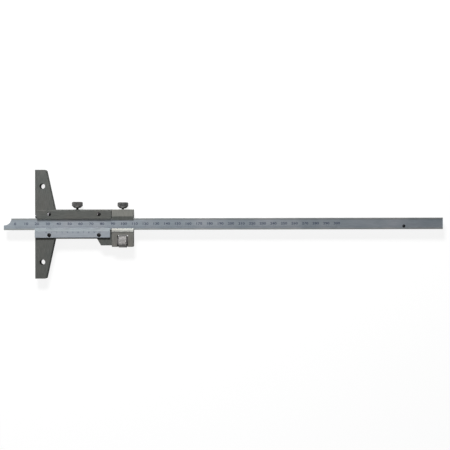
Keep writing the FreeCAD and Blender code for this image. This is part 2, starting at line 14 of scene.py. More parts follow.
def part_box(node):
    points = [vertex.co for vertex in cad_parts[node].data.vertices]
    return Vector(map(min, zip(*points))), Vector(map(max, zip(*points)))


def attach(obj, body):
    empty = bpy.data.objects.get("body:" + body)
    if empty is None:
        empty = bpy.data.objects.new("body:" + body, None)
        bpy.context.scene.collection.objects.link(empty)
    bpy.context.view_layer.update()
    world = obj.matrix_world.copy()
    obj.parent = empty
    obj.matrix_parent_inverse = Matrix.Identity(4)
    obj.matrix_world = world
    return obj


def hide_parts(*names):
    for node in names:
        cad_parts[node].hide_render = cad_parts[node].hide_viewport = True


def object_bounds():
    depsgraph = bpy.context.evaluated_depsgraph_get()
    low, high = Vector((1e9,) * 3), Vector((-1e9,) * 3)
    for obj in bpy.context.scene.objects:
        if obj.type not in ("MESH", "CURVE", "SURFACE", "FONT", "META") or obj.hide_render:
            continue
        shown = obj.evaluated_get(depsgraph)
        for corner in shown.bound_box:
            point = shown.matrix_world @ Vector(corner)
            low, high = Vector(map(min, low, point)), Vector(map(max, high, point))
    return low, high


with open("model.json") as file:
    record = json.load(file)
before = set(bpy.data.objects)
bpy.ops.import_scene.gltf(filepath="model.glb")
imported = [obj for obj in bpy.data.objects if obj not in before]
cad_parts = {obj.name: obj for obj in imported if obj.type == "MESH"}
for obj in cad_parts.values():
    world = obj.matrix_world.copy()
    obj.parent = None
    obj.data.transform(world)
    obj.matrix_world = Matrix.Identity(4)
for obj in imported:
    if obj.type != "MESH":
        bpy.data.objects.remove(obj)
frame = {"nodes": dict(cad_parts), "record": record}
cad_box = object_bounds()
scene = bpy.context.scene
scene.view_settings.view_transform = "Standard"
MM = 0.001
print("nodes:", len(frame["nodes"]), "box:", cad_box)

# %% [markdown]
# The photograph looks down on the gauge from close by, so the inner walls of the wing holes show.
# It leans a little to the right: the millimetres shrink towards the beam's far end. A camera with
# the photograph's own focal length, in pixels, and the same lean gives the same view.

# %% Place the camera above the gauge
IMAGE_WIDTH_PX = 450
FOCAL_LENGTH_PX = 607
CAMERA_HEIGHT = 0.575
CAMERA_AIM = Vector((0.1762, -0.00115, 0.0065))
CAMERA_LEAN = math.radians(2.1)
BEAM_RISE = math.radians(0.134)

camera_data = bpy.data.cameras.new("camera")
SENSOR_WIDTH_MM = 36.0
camera_data.sensor_width = SENSOR_WIDTH_MM
camera_data.lens = FOCAL_LENGTH_PX / IMAGE_WIDTH_PX * camera_data.sensor_width
camera = bpy.data.objects.new("camera", camera_data)
camera_step = (CAMERA_HEIGHT - CAMERA_AIM.z) * math.tan(CAMERA_LEAN)
camera.location = (CAMERA_AIM.x - camera_step, CAMERA_AIM.y, CAMERA_HEIGHT)
leaning = Matrix.Rotation(-CAMERA_LEAN, 3, "Y") @ Matrix.Rotation(-BEAM_RISE, 3, "Z")
camera.rotation_euler = leaning.to_euler()
scene.collection.objects.link(camera)
scene.camera = camera
print("lens:", round(camera_data.lens, 2), "mm")

# %% [markdown]
# Every material and tree below is made of nodes. This helper adds one node, sets its plain inputs
# and links the rest, so that a material reads as a list of steps.

# %% Add a node in one line


def add_node(tree, kind, inputs=None, **settings):
    """Add a node; an input may be a number, a colour, or an output socket of an earlier node."""
    node = tree.nodes.new(kind)
    for name, setting in settings.items():
        setattr(node, name, setting)
    for name, given in (inputs or {}).items():
        if isinstance(given, bpy.types.NodeSocket):
            tree.links.new(given, node.inputs[name])
        else:
            node.inputs[name].default_value = given
    return node


print("helper ready:", add_node.__name__)

# %% [markdown]
# Steel looks like what it reflects. The studio has white walls, which the camera and the metal
# see, and a dim ceiling that is a little brighter on the left, where the beam shines most. One
# strong lamp behind the clamping screws throws the short dark shadows. Weak lamps on the left and
# low in front pick out the screw heads and the bowls of the thumbscrews.

# %% Build the studio around the gauge
world = bpy.data.worlds.new("studio")
scene.world = world
world.use_nodes = True
sky = world.node_tree
sky.nodes.clear()
direction = add_node(sky, "ShaderNodeTexCoord").outputs["Generated"]
split = add_node(sky, "ShaderNodeSeparateXYZ", {"Vector": direction})
across = add_node(
    sky,
    "ShaderNodeMapRange",
    {"Value": split.outputs["Y"], "From Min": -0.7, "From Max": 0.7, "To Min": 0.05, "To Max": 0.09},
    interpolation_type="SMOOTHSTEP",
)
along = add_node(
    sky,
    "ShaderNodeMapRange",
    {"Value": split.outputs["X"], "From Min": -0.8, "From Max": 0.8, "To Min": 1.5, "To Max": 0.9},
    interpolation_type="SMOOTHSTEP",
)
strength = add_node(
    sky, "ShaderNodeMath", {0: across.outputs["Result"], 1: along.outputs["Result"]}, operation="MULTIPLY"
)
ceiling = add_node(
    sky, "ShaderNodeBackground", {"Color": (0.96, 0.98, 1.0, 1), "Strength": strength.outputs["Value"]}
)
walls = add_node(sky, "ShaderNodeBackground", {"Color": (1, 1, 1, 1), "Strength": 1.0})


def shown_white(tree):
    """Return a socket that is true for rays that should find the white background."""
    rays = add_node(tree, "ShaderNodeLightPath").outputs
    mirrored = add_node(
        tree,
        "ShaderNodeMath",
        {0: rays["Is Glossy Ray"], 1: rays["Is Transmission Ray"]},
        operation="MAXIMUM",
    )
    seen = add_node(
        tree,
        "ShaderNodeMath",
        {0: rays["Is Camera Ray"], 1: mirrored.outputs["Value"]},
        operation="MAXIMUM",
    )
    return seen.outputs["Value"]


wall_height = add_node(
    sky,
    "ShaderNodeMapRange",
    {"Value": split.outputs["Z"], "From Min": 0.30, "From Max": 0.42, "To Min": 1.0, "To Max": 0.0},
)
on_wall = add_node(
    sky, "ShaderNodeMath", {0: wall_height.outputs["Result"], 1: shown_white(sky)}, operation="MULTIPLY"
)
choice = add_node(
    sky,
    "ShaderNodeMixShader",
    {"Fac": on_wall.outputs["Value"], 1: ceiling.outputs["Background"], 2: walls.outputs["Background"]},
)
add_node(sky, "ShaderNodeOutputWorld", {"Surface": choice.outputs["Shader"]})


def add_lamp(name, place, aim, width, height, watts):
    """Hang a rectangular studio lamp at a place and turn it to its aim."""
    data = bpy.data.lights.new(name, "AREA")
    data.shape = "RECTANGLE"
    data.size = width
    data.size_y = height
    data.energy = watts
    lamp = bpy.data.objects.new(name, data)
    lamp.location = place
    lamp.rotation_euler = (Vector(aim) - Vector(place)).to_track_quat("-Z", "Y").to_euler()
    scene.collection.objects.link(lamp)


add_lamp("key_light", place=(0.00, 0.70, 0.50), aim=(0.10, 0, 0), width=0.36, height=0.18, watts=13.0)
add_lamp("left_box", place=(-0.36, 0, 0.90), aim=(-0.02, 0, 0), width=0.30, height=0.50, watts=0.4)
add_lamp("low_left", place=(-0.80, 0, 0.50), aim=(0.03, 0, 0), width=0.30, height=0.15, watts=0.8)
add_lamp("low_front", place=(0.05, -0.75, 0.12), aim=(0.10, 0, 0), width=0.50, height=0.10, watts=0.9)
print("lamps:", [lamp.name for lamp in bpy.data.lights])

# %% [markdown]
# The floor is pale and plain. Its own light lifts it to white in the picture, and its matt
# colour still takes the gauge's soft shadow. Only the camera and shiny metal see that light, so it
# does not brighten the gauge from below. The floor lies just under the lowest knurled edge.

# %% Lay the floor
FLOOR_SIZE = 3.0
FLOOR_MIDDLE = 0.17
floor_height = cad_box[0][2]
floor_mesh = bpy.data.meshes.new("floor")
half_floor = FLOOR_SIZE / 2
corners = [(-1, -1), (1, -1), (1, 1), (-1, 1)]
floor_mesh.from_pydata([(x * half_floor, y * half_floor, 0) for x, y in corners], [], [(0, 1, 2, 3)])
floor_mesh.transform(Matrix.Translation((FLOOR_MIDDLE, 0, floor_height)))
floor = bpy.data.objects.new("floor", floor_mesh)
scene.collection.objects.link(floor)
pale = bpy.data.materials.new("pale_floor")
pale.use_nodes = True
floor_tree = pale.node_tree
floor_tree.nodes.clear()
matt = add_node(floor_tree, "ShaderNodeBsdfDiffuse", {"Color": (0.60, 0.60, 0.60, 1)})
shaded = add_node(floor_tree, "ShaderNodeBsdfDiffuse", {"Color": (0.16, 0.16, 0.16, 1)})
glow = add_node(floor_tree, "ShaderNodeEmission", {"Color": (1, 1, 1, 1), "Strength": 0.87})
lifted = add_node(
    floor_tree, "ShaderNodeAddShader", {0: shaded.outputs["BSDF"], 1: glow.outputs["Emission"]}
)
floor_choice = add_node(
    floor_tree,
    "ShaderNodeMixShader",
    {"Fac": shown_white(floor_tree), 1: matt.outputs["BSDF"], 2: lifted.outputs["Shader"]},
)
add_node(floor_tree, "ShaderNodeOutputMaterial", {"Surface": floor_choice.outputs["Shader"]})
floor_mesh.materials.append(pale)
print("floor at", round(floor_height / MM, 2), "mm")

# %% [markdown]
# Ground steel carries fine lines from the grinding wheel, all one way, and broader cloudy
# patches from handling. Several finishes need both, so they are one group of nodes. Stretched
# noise makes the lines. Object coordinates keep them fixed to each piece when it moves.

# %% Make the grinding lines a group


def new_group(name, inputs, outputs):
    """Start a shader node group with named number inputs and named outputs."""
    group = bpy.data.node_groups.new(name, "ShaderNodeTree")
    for label, start in inputs.items():
        socket = group.interface.new_socket(label, in_out="INPUT", socket_type="NodeSocketFloat")
        socket.default_value = start
    for label, kind in outputs.items():
        group.interface.new_socket(label, in_out="OUTPUT", socket_type=kind)
    return group, group.nodes.new("NodeGroupInput").outputs, group.nodes.new("NodeGroupOutput")


grinding, given, result = new_group(
    "grinding_lines",
    {"Lines along X": 60.0, "Lines along Y": 60.0, "Lines along Z": 60.0, "Depth": 0.2, "Clouds": 0.5},
    {"Lines": "NodeSocketFloat", "Clouds": "NodeSocketFloat", "Normal": "NodeSocketVector"},
)
place = add_node(grinding, "ShaderNodeTexCoord").outputs["Object"]
spacing = add_node(
    grinding,
    "ShaderNodeCombineXYZ",
    {"X": given["Lines along X"], "Y": given["Lines along Y"], "Z": given["Lines along Z"]},
)
stretched = add_node(
    grinding, "ShaderNodeVectorMath", {0: place, 1: spacing.outputs["Vector"]}, operation="MULTIPLY"
)
line_noise = add_node(
    grinding, "ShaderNodeTexNoise", {"Vector": stretched.outputs["Vector"], "Scale": 1.0, "Detail": 4.0}
)
cloud_noise = add_node(grinding, "ShaderNodeTexNoise", {"Vector": place, "Scale": 55.0, "Detail": 3.0})
cloud_tone = add_node(
    grinding,
    "ShaderNodeMapRange",
    {
        "Value": cloud_noise.outputs["Fac"],
        "From Min": 0.3,
        "From Max": 0.7,
        "To Min": 0.0,
        "To Max": given["Clouds"],
    },
)
scratch = add_node(
    grinding,
    "ShaderNodeBump",
    {"Strength": given["Depth"], "Distance": 0.00002, "Height": line_noise.outputs["Fac"]},
)
grinding.links.new(line_noise.outputs["Fac"], result.inputs["Lines"])
grinding.links.new(cloud_tone.outputs["Result"], result.inputs["Clouds"])
grinding.links.new(scratch.outputs["Normal"], result.inputs["Normal"])
print("group:", grinding.name, [socket.name for socket in result.inputs if socket.name])

# %% [markdown]
# Edges that hands and pockets rub turn bright. Near an edge, a rounded copy of the normal leans
# away from the true one, and the difference is a mask of the worn line.

# %% Make the worn edges a group
wear, given, result = new_group(
    "worn_edges", {"Width": 0.0003, "Patchiness": 0.5}, {"Mask": "NodeSocketFloat"}
)
rounded = add_node(wear, "ShaderNodeBevel", {"Radius": given["Width"]}, samples=4)
true_normal = add_node(wear, "ShaderNodeNewGeometry").outputs["True Normal"]
lean = add_node(
    wear, "ShaderNodeVectorMath", {0: rounded.outputs["Normal"], 1: true_normal}, operation="DOT_PRODUCT"
)
edge = add_node(
    wear,
    "ShaderNodeMapRange",
    {"Value": lean.outputs["Value"], "From Min": 0.99, "From Max": 0.8, "To Min": 0.0, "To Max": 1.0},
)
wear_place = add_node(wear, "ShaderNodeTexCoord").outputs["Object"]
patches = add_node(wear, "ShaderNodeTexNoise", {"Vector": wear_place, "Scale": 400.0, "Detail": 2.0})
kept = add_node(
    wear,
    "ShaderNodeMapRange",
    {
        "Value": patches.outputs["Fac"],
        "From Min": given["Patchiness"],
        "From Max": 0.75,
        "To Min": 0.35,
        "To Max": 1.0,
    },
)
mask = add_node(
    wear, "ShaderNodeMath", {0: edge.outputs["Result"], 1: kept.outputs["Result"]}, operation="MULTIPLY"
)
wear.links.new(mask.outputs["Value"], result.inputs["Mask"])
print("group:", wear.name)

# %% [markdown]
# All the steels share one recipe: a colour that the grinding lines lighten and darken, patches
# that handling has warmed, a roughness that clouds over, and bright worn edges. Each finish
# differs in its numbers alone.

# %% Mix the steels


def mix_colour(tree, factor, first, second, blend="MIX"):
    """Blend two colours and return the result's socket; blend MULTIPLY tints the first one."""
    node = tree.nodes.new("ShaderNodeMix")
    node.data_type = "RGBA"
    node.blend_type = blend
    for socket, given in ((node.inputs[0], factor), (node.inputs[6], first), (node.inputs[7], second)):
        if isinstance(given, bpy.types.NodeSocket):
            tree.links.new(given, socket)
        else:
            socket.default_value = given
    return node.outputs[2]


HANDLED_TINT = (1.10, 1.03, 1.01, 1)


def steel(name, dark, light, worn, metallic, roughness, lines, depth, wear_width=0.0003, rim=1.0):
    """Make a ground steel; dark and light are the colours of its lines, rim its glancing shine."""
    material = bpy.data.materials.new(name)
    material.use_nodes = True
    tree = material.node_tree
    tree.nodes.clear()
    ground = add_node(tree, "ShaderNodeGroup", node_tree=grinding)
    for axis, number in zip("XYZ", lines):
        ground.inputs[f"Lines along {axis}"].default_value = number
    ground.inputs["Depth"].default_value = depth
    ground.inputs["Clouds"].default_value = 1.0
    rubbed = add_node(tree, "ShaderNodeGroup", node_tree=wear)
    rubbed.inputs["Width"].default_value = wear_width
    tone = add_node(
        tree,
        "ShaderNodeMapRange",
        {"Value": ground.outputs["Lines"], "From Min": 0.3, "From Max": 0.7, "To Min": 0.0, "To Max": 1.0},
    )
    lined = mix_colour(tree, tone.outputs["Result"], (*dark, 1), (*light, 1))
    handled = mix_colour(tree, ground.outputs["Clouds"], lined, HANDLED_TINT, "MULTIPLY")
    colour = mix_colour(tree, rubbed.outputs["Mask"], handled, (*worn, 1))
    matt_range = add_node(
        tree,
        "ShaderNodeMapRange",
        {
            "Value": ground.outputs["Clouds"],
            "From Min": 0.0,
            "From Max": 1.0,
            "To Min": roughness - 0.04,
            "To Max": roughness + 0.05,
        },
    )
    surface = add_node(
        tree,
        "ShaderNodeBsdfPrincipled",
        {
            "Base Color": colour,
            "Metallic": metallic,
            "Roughness": matt_range.outputs["Result"],
            "Specular IOR Level": 0.5 * rim,
            "Specular Tint": (rim, rim, rim, 1),
            "Normal": ground.outputs["Normal"],
        },
    )
    add_node(tree, "ShaderNodeOutputMaterial", {"Surface": surface.outputs["BSDF"]})
    return material


def dark_ground_steel(name, lines):
    """Make the base's steel, ground along X or Y as the numbers of lines say."""
    return steel(
        name,
        dark=(0.086, 0.094, 0.089),
        light=(0.132, 0.140, 0.134),
        worn=(0.23, 0.23, 0.225),
        metallic=0.5,
        roughness=0.58,
        lines=lines,
        depth=0.25,
        rim=0.1,
    )


finishes = {
    "ground_steel": dark_ground_steel("ground_steel", lines=(2500, 180, 600)),
    "carriage_steel": steel(
        "carriage_steel",
        dark=(0.180, 0.187, 0.172),
        light=(0.250, 0.256, 0.236),
        worn=(0.34, 0.34, 0.32),
        metallic=0.5,
        roughness=0.55,
        lines=(2500, 180, 600),
        depth=0.25,
        rim=0.3,
    ),
    "knurled_steel": steel(
        "knurled_steel",
        dark=(0.12, 0.12, 0.12),
        light=(0.18, 0.18, 0.178),
        worn=(0.40, 0.40, 0.39),
        metallic=0.8,
        roughness=0.42,
        lines=(900, 900, 900),
        depth=0.15,
        wear_width=0.00015,
    ),
    "screw_steel": steel(
        "screw_steel",
        dark=(0.020, 0.020, 0.021),
        light=(0.036, 0.036, 0.038),
        worn=(0.060, 0.060, 0.058),
        metallic=1.0,
        roughness=0.46,
        lines=(1200, 1200, 1200),
        depth=0.15,
        wear_width=0.00018,
    ),
    # The gib leaves are nearly black: painted shade, for the shadowed recesses where their ends show.
    "leaf_steel": steel(
        "leaf_steel",
        dark=(0.030, 0.034, 0.042),
        light=(0.060, 0.066, 0.078),
        worn=(0.20, 0.20, 0.20),
        metallic=0.9,
        roughness=0.42,
        lines=(150, 2500, 2500),
        depth=0.2,
    ),
}
print("finishes:", sorted(finishes))

# %% [markdown]
# Some places on a piece look different from the rest of it: a rail, a bevel or a neck in painted shade, an
# edge with a painted highlight. Each lies between two places along one axis, so its Object coordinate picks
# it out. The tint multiplies the colour, which keeps the grinding lines. A folded band is measured from the
# beam's middle and lies on both sides of it.

# %% Tint a band of a piece


def tint_band(material, low, high, tint, axis="Y", folded=False):
    """Tint a piece between two places along an axis; folded tints both sides of the beam."""
    tree = material.node_tree
    surface = next(node for node in tree.nodes if node.type == "BSDF_PRINCIPLED")
    coords = add_node(tree, "ShaderNodeTexCoord").outputs["Object"]
    along_axis = add_node(tree, "ShaderNodeSeparateXYZ", {"Vector": coords}).outputs[axis]
    if folded:
        along_axis = add_node(tree, "ShaderNodeMath", {0: along_axis}, operation="ABSOLUTE").outputs["Value"]
    inside = add_node(
        tree,
        "ShaderNodeMath",
        {0: along_axis, 1: (low + high) / 2, 2: (high - low) / 2},
        operation="COMPARE",
    )
    before = surface.inputs["Base Color"].links[0].from_socket
    tinted = mix_colour(tree, inside.outputs["Value"], before, (*tint, 1), "MULTIPLY")
    tree.links.new(tinted, surface.inputs["Base Color"])


print("helper ready:", tint_band.__name__)

# %% [markdown]
# The beam and the vernier plate have a satin chrome on their scale faces, so that the lines read
# without glare. On the beam it lies between two ground rails, which look less blue. The bevel of
# the vernier leans towards the lamp, so its chrome is tinted a little darker than the face.

# %% Plate the scales with satin chrome
BEAM_RAIL = 1.5 * MM
VERNIER_BEVEL = 3.1 * MM
beam_low, beam_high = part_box("beam")
half_beam = beam_high[1]


def satin_chrome(name, tone, metallic, roughness):
    """Make the pale matt chrome; tone lightens or darkens it."""
    return steel(
        name,
        dark=(0.300 * tone, 0.343 * tone, 0.382 * tone),
        light=(0.365 * tone, 0.415 * tone, 0.458 * tone),
        worn=(0.42 * tone, 0.44 * tone, 0.46 * tone),
        metallic=metallic,
        roughness=roughness,
        lines=(160, 1800, 1800),
        depth=0.12,
        wear_width=0.0002,
        rim=0.25,
    )


beam_chrome = satin_chrome("beam_chrome", tone=1.17, metallic=0.75, roughness=0.45)
tint_band(beam_chrome, half_beam - BEAM_RAIL, half_beam + BEAM_RAIL, (0.97, 0.92, 0.84), folded=True)
vernier_chrome = satin_chrome("vernier_chrome", tone=0.85, metallic=0.35, roughness=0.68)
vernier_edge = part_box("vernier_plate")[1][1]
tint_band(vernier_chrome, vernier_edge - VERNIER_BEVEL, vernier_edge, (0.78, 0.79, 0.76))
print("plated:", beam_chrome.name, "and", vernier_chrome.name)

# %% [markdown]
# The small parts have finishes of their own. The thumbscrews' necks carry painted shade and are nearly black.
# The guide plate's screws have a painted highlight along their left edge, and the stop screw is less black
# than they are. A copy of a finish is tinted, so that the other pieces keep theirs.

# %% Finish the screws
special = {"beam": beam_chrome, "vernier_plate": vernier_chrome}
CLAMP_HEAD_HEIGHT = 5.65 * MM
for name in ("slider_clamp_screw", "carriage_clamp_screw"):
    screw_low, screw_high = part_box(name)
    special[name] = finishes["knurled_steel"].copy()
    special[name].name = f"{name}_steel"
    # Painted shade: the neck under each thumbscrew's head is tinted nearly black.
    tint_band(special[name], screw_low[1], screw_high[1] - CLAMP_HEAD_HEIGHT, (0.08, 0.08, 0.08))
# Painted highlight: a bright band along the left edge of each guide plate screw's head.
for name, highlight_width, brightening in (
    ("guide_plate_screw_left", 1.1 * MM, 30.0),
    ("guide_plate_screw_right", 0.75 * MM, 14.0),
):
    screw_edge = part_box(name)[0][0]
    special[name] = finishes["screw_steel"].copy()
    special[name].name = f"{name}_steel"
    tint_band(special[name], screw_edge, screw_edge + highlight_width, (brightening,) * 3, axis="X")
special["beam_stop_screw"] = finishes["screw_steel"].copy()
special["beam_stop_screw"].name = "stop_screw_steel"
stop_low, stop_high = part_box("beam_stop_screw")
tint_band(special["beam_stop_screw"], stop_low[1], stop_high[1], (2.6, 2.8, 3.0))
print("own finishes so far:", len(special))

# %% [markdown]
# The guide plate is ground along the beam, not across it. The carriage is a little darker below the beam, and
# painted shade darkens its bevels beside the beam. Painted shade darkens the knurled nut's chamfered ends,
# beside the walls of its window, so its middle is lighter.

# %% Finish the guide plate, the carriage and the nut
special["upper_guide_plate"] = dark_ground_steel("guide_plate_steel", lines=(180, 2500, 600))
carriage_steel = finishes["carriage_steel"]
carriage_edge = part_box("carriage_body")[0][1]
CARRIAGE_BEVEL = 3.0 * MM
# The carriage is tinted darker below the beam; painted shade darkens its lower bevel, which faces the key
# lamp, and its upper bevel beside the beam.
tint_band(carriage_steel, carriage_edge, beam_low[1] - CARRIAGE_BEVEL, (0.84, 0.82, 0.83))
tint_band(carriage_steel, beam_low[1] - CARRIAGE_BEVEL, beam_low[1], (0.68, 0.68, 0.70))
tint_band(carriage_steel, beam_high[1] - BEAM_RAIL, beam_high[1] + BEAM_RAIL, (0.82, 0.86, 0.88))
special["fine_adjust_nut"] = steel(
    "nut_steel",
    dark=(0.20, 0.20, 0.198),
    light=(0.29, 0.29, 0.287),
    worn=(0.36, 0.36, 0.355),
    metallic=0.5,
    roughness=0.55,
    lines=(900, 900, 900),
    depth=0.15,
    wear_width=0.00015,
)
nut_low, nut_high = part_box("fine_adjust_nut")
NUT_SHADED_END = 1.5 * MM
# Painted shade: the nut's chamfered ends, beside the walls of its window, are tinted darker.
for end_low, end_high in ((nut_low[0], nut_low[0] + NUT_SHADED_END), (nut_high[0] - NUT_SHADED_END, nut_high[0])):
    tint_band(special["fine_adjust_nut"], end_low, end_high, (0.38, 0.38, 0.38), axis="X")
print("own finishes:", sorted(special))

# %% [markdown]
# Every other piece takes the finish of its material slot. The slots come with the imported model, so
# no piece is left out.

# %% Put every finish on its piece
by_node = {item["node"]: item["material_slot"] for item in frame["record"]["subparts"]}
for name, node in frame["nodes"].items():
    material = special.get(name) or finishes[by_node[name]]
    node.data.materials.clear()
    node.data.materials.append(material)
print("dressed:", len(by_node), "nodes")

# %% [markdown]
# The bores of the two wing holes are not ground. Their walls are tinted almost black beside the faces:
# painted shade, for the shade deep inside the holes. The distance from a hole's axis picks them out, and the
# distance across the beam is folded, so that one sum serves both holes.

# %% Paint shade into the drilled bores
holes = next(mount for mount in frame["record"]["mounts"] if mount["name"] == "extension_base_holes")
bore_radius = holes["dims"]["hole_r_mm"] * MM
BORE_MARGIN = 0.12 * MM
bore_tree = finishes["ground_steel"].node_tree
bore_surface = next(node for node in bore_tree.nodes if node.type == "BSDF_PRINCIPLED")
bore_place = add_node(bore_tree, "ShaderNodeTexCoord").outputs["Object"]
bore_parts = add_node(bore_tree, "ShaderNodeSeparateXYZ", {"Vector": bore_place}).outputs
folded_across = add_node(bore_tree, "ShaderNodeMath", {0: bore_parts["Y"]}, operation="ABSOLUTE")
flattened = add_node(
    bore_tree, "ShaderNodeCombineXYZ", {"X": bore_parts["X"], "Y": folded_across.outputs["Value"]}
)
axis_place = (holes["pos_m"][0], holes["dims"]["spacing_y_mm"] * MM / 2, 0)
from_axis = add_node(
    bore_tree,
    "ShaderNodeVectorMath",
    {0: flattened.outputs["Vector"], 1: axis_place},
    operation="DISTANCE",
)
in_bore = add_node(
    bore_tree,
    "ShaderNodeMath",
    {0: from_axis.outputs["Value"], 1: bore_radius + BORE_MARGIN},
    operation="LESS_THAN",
)
# Painted shade: the bore walls are tinted almost black.
BORE_SHADE_TINT = (0.12, 0.12, 0.12, 1)
faces = bore_surface.inputs["Base Color"].links[0].from_socket
bore_shade_colour = mix_colour(bore_tree, in_bore.outputs["Value"], faces, BORE_SHADE_TINT, "MULTIPLY")
bore_tree.links.new(bore_shade_colour, bore_surface.inputs["Base Color"])
print("bores:", holes["dims"]["count"], "of radius", bore_radius / MM, "mm")

# %% [markdown]
# The scale is three hundred engraved lines, one each millimetre. Every fifth is longer and every
# tenth is longest. Geometry Nodes place them from a few named sizes, so the same tree also rules
# the vernier. Each line is a thin bar sunk into the face, with its top a hair above it.

# %% Build the tree that rules a scale
ruler = bpy.data.node_groups.new("ruled_scale", "GeometryNodeTree")
ruler.interface.new_socket("Lines", in_out="OUTPUT", socket_type="NodeSocketGeometry")
for label, kind in (
    ("Count", "NodeSocketInt"),
    ("Pitch", "NodeSocketFloat"),
    ("Line Width", "NodeSocketFloat"),
    ("Short Line", "NodeSocketFloat"),
    ("Middle Line", "NodeSocketFloat"),
    ("Long Line", "NodeSocketFloat"),
    ("Thickness", "NodeSocketFloat"),
    ("Ink", "NodeSocketMaterial"),
):
    ruler.interface.new_socket(label, in_out="INPUT", socket_type=kind)
sizes = ruler.nodes.new("NodeGroupInput").outputs
step = add_node(ruler, "ShaderNodeCombineXYZ", {"X": sizes["Pitch"]})
row = add_node(ruler, "GeometryNodeMeshLine", {"Count": sizes["Count"], "Offset": step.outputs["Vector"]})
index = add_node(ruler, "GeometryNodeInputIndex").outputs["Index"]


def every(number):
    """Return a socket that is true on every so many lines."""
    rest = add_node(ruler, "ShaderNodeMath", {0: index, 1: number}, operation="MODULO")
    whole = add_node(ruler, "ShaderNodeMath", {0: rest.outputs["Value"], 1: 0.5}, operation="LESS_THAN")
    return whole.outputs["Value"]


def pick(condition, otherwise, chosen):
    """Return a socket that switches between two lengths."""
    node = add_node(ruler, "GeometryNodeSwitch", input_type="FLOAT")
    for name, socket in (("Switch", condition), ("False", otherwise), ("True", chosen)):
        ruler.links.new(socket, node.inputs[name])
    return node.outputs["Output"]


length = pick(every(10), pick(every(5), sizes["Short Line"], sizes["Middle Line"]), sizes["Long Line"])
bar = add_node(ruler, "GeometryNodeMeshCube", {"Size": (1, 1, 1)})
standing = add_node(
    ruler, "GeometryNodeTransform", {"Geometry": bar.outputs["Mesh"], "Translation": (0, 0.5, 0)}
)
stretch = add_node(
    ruler, "ShaderNodeCombineXYZ", {"X": sizes["Line Width"], "Y": length, "Z": sizes["Thickness"]}
)
copies = add_node(
    ruler,
    "GeometryNodeInstanceOnPoints",
    {
        "Points": row.outputs["Mesh"],
        "Instance": standing.outputs["Geometry"],
        "Scale": stretch.outputs["Vector"],
    },
)
solid_lines = add_node(ruler, "GeometryNodeRealizeInstances", {"Geometry": copies.outputs["Instances"]})
inked = add_node(
    ruler, "GeometryNodeSetMaterial", {"Geometry": solid_lines.outputs["Geometry"], "Material": sizes["Ink"]}
)
add_node(ruler, "NodeGroupOutput", {"Lines": inked.outputs["Geometry"]})
print("tree:", ruler.name, "with", len(ruler.nodes), "nodes")

# %% [markdown]
# The lines and numbers are filled with a dark, slightly blue enamel. It is matt, worn thin in
# places, and never quite black.

# %% Mix the enamel of the scales
enamel = bpy.data.materials.new("scale_enamel")
enamel.use_nodes = True
ink_tree = enamel.node_tree
ink_tree.nodes.clear()
ink_place = add_node(ink_tree, "ShaderNodeTexCoord").outputs["Object"]
worn_ink = add_node(ink_tree, "ShaderNodeTexNoise", {"Vector": ink_place, "Scale": 900.0, "Detail": 2.0})
ink_colour = mix_colour(ink_tree, worn_ink.outputs["Fac"], (0.014, 0.020, 0.045, 1), (0.050, 0.066, 0.115, 1))
ink_bump = add_node(
    ink_tree, "ShaderNodeBump", {"Strength": 0.2, "Distance": 0.00001, "Height": worn_ink.outputs["Fac"]}
)
ink_matt = add_node(
    ink_tree,
    "ShaderNodeMapRange",
    {"Value": worn_ink.outputs["Fac"], "To Min": 0.45, "To Max": 0.75},
)
ink_surface = add_node(
    ink_tree,
    "ShaderNodeBsdfPrincipled",
    {"Base Color": ink_colour, "Roughness": ink_matt.outputs["Result"], "Normal": ink_bump.outputs["Normal"]},
)
add_node(ink_tree, "ShaderNodeOutputMaterial", {"Surface": ink_surface.outputs["BSDF"]})
print("enamel mixed")

# %% [markdown]
# A modifier runs the tree, and the evaluated result becomes a plain mesh that then goes to its
# place. Inputs are set by the socket's identifier.

# %% Turn a tree into a plain piece


def grow(name, tree, settings, placing=Matrix()):
    """Run a Geometry Nodes tree on an empty mesh and keep the result as a plain piece."""
    seed = bpy.data.objects.new(name, bpy.data.meshes.new(name))
    scene.collection.objects.link(seed)
    modifier = seed.modifiers.new("grow", "NODES")
    modifier.node_group = tree
    for socket in tree.interface.items_tree:
        if socket.name in settings:
            modifier[socket.identifier] = settings[socket.name]
    bpy.context.view_layer.update()
    grown = bpy.data.meshes.new_from_object(seed.evaluated_get(bpy.context.evaluated_depsgraph_get()))
    seed.modifiers.remove(modifier)
    grown.name = name
    grown.transform(placing)
    seed.data = grown
    return seed


SCALE_RELIEF = 0.15 * MM
SCALE_FACE = beam_high[2] - SCALE_RELIEF
LINE_CLEARANCE = 0.05 * MM
LINE_FOOT = -(half_beam - BEAM_RAIL) + LINE_CLEARANCE
ZERO_FROM_NOSE = 10.35 * MM
SCALE_ZERO = beam_low[0] + ZERO_FROM_NOSE
LINE_SIZES = {"Line Width": 0.13 * MM, "Thickness": 0.03 * MM, "Ink": enamel}
main_lines = grow(
    "main_scale_lines",
    ruler,
    {
        **LINE_SIZES,
        "Count": 301,
        "Pitch": 1 * MM,
        "Short Line": 1.9 * MM,
        "Middle Line": 2.4 * MM,
        "Long Line": 2.9 * MM,
    },
    Matrix.Translation((SCALE_ZERO, LINE_FOOT, SCALE_FACE)),
)
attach(main_lines, "beam")
print("main scale:", len(main_lines.data.polygons), "faces")

# %% [markdown]
# Numbers stand over every tenth line. Blender's own plain font draws them. Each text is given a
# little thickness, made a mesh, and only then moved into its place.

# %% Write the main scale's numbers


